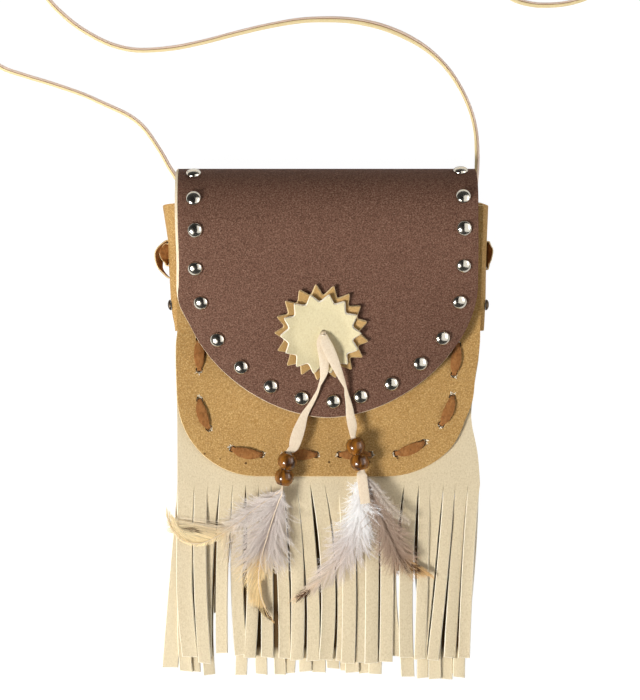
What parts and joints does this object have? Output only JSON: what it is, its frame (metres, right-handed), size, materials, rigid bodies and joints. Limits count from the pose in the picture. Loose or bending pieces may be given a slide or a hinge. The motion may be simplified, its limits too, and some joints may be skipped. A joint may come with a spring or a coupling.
{
  "type": "shoulder bag",
  "caption": "Small craft shoulder bag of thin leather: dark studded flap, laced tan front, cream fringe, star rosette with bead and feather tassels, long thin strap.",
  "frame": {"origin": "on the underside of the back panel, on the bag's middle line, at the height of the gussets' lower ends", "axes": "+X to the right over the front, +Y from the fringe to the flap's roll, +Z out of the front"},
  "size_m": [0.3168, 0.3735, 0.0357],
  "materials": {
    "brown_leather": "matte, fine speckled grain, pale cut edge",
    "tan_leather": "matte, speckled ochre grain",
    "cream_leather": "matte suede",
    "rosette_cream": "matte",
    "rust_lace": "matte",
    "pale_lace": "matte suede",
    "strap_cream": "matte, a dark line between two bands",
    "nickel": "polished nickel",
    "lacquered_wood": "gloss lacquer",
    "grey_feather": "downy grey",
    "ochre_feather": "downy ochre"
  },
  "bodies": {
    "pouch": {"back_panel": "brown_leather", "front_panel": "tan_leather", "gusset_left": "tan_leather", "gusset_right": "tan_leather", "fringe_front": "cream_leather", "fringe_back": "cream_leather", "running_lace": "rust_lace", "side_lace_left": "rust_lace", "side_lace_right": "rust_lace", "shoulder_strap": "strap_cream", "gusset_stud_left": "nickel", "gusset_stud_right": "nickel"},
    "flap_body": {"flap": "brown_leather", "flap_stud_01": "nickel", "flap_stud_02": "nickel", "flap_stud_03": "nickel", "flap_stud_04": "nickel", "flap_stud_05": "nickel", "flap_stud_06": "nickel", "flap_stud_07": "nickel", "flap_stud_08": "nickel", "flap_stud_09": "nickel", "flap_stud_10": "nickel", "flap_stud_11": "nickel", "flap_stud_12": "nickel", "flap_stud_13": "nickel", "flap_stud_14": "nickel", "flap_stud_15": "nickel", "flap_stud_16": "nickel", "flap_stud_17": "nickel", "flap_stud_18": "nickel", "flap_stud_19": "nickel", "rosette_back": "tan_leather", "rosette_front": "rosette_cream", "tassel_lace_left": "pale_lace", "tassel_lace_right": "pale_lace", "bead_left_1": "lacquered_wood", "bead_left_2": "lacquered_wood", "bead_right_1": "lacquered_wood", "bead_right_2": "lacquered_wood", "feather_a": "grey_feather", "feather_b": "ochre_feather", "feather_c": "grey_feather", "feather_d": "ochre_feather", "feather_e": "grey_feather"}
  },
  "joints": [
    {"name": "flap_hinge", "type": "hinge", "parent": "pouch", "child": "flap_body", "pos_m": [0, 0.0758, 0.0067], "axis": [-1, 0, 0], "range_deg": [0, 105]}
  ]
}
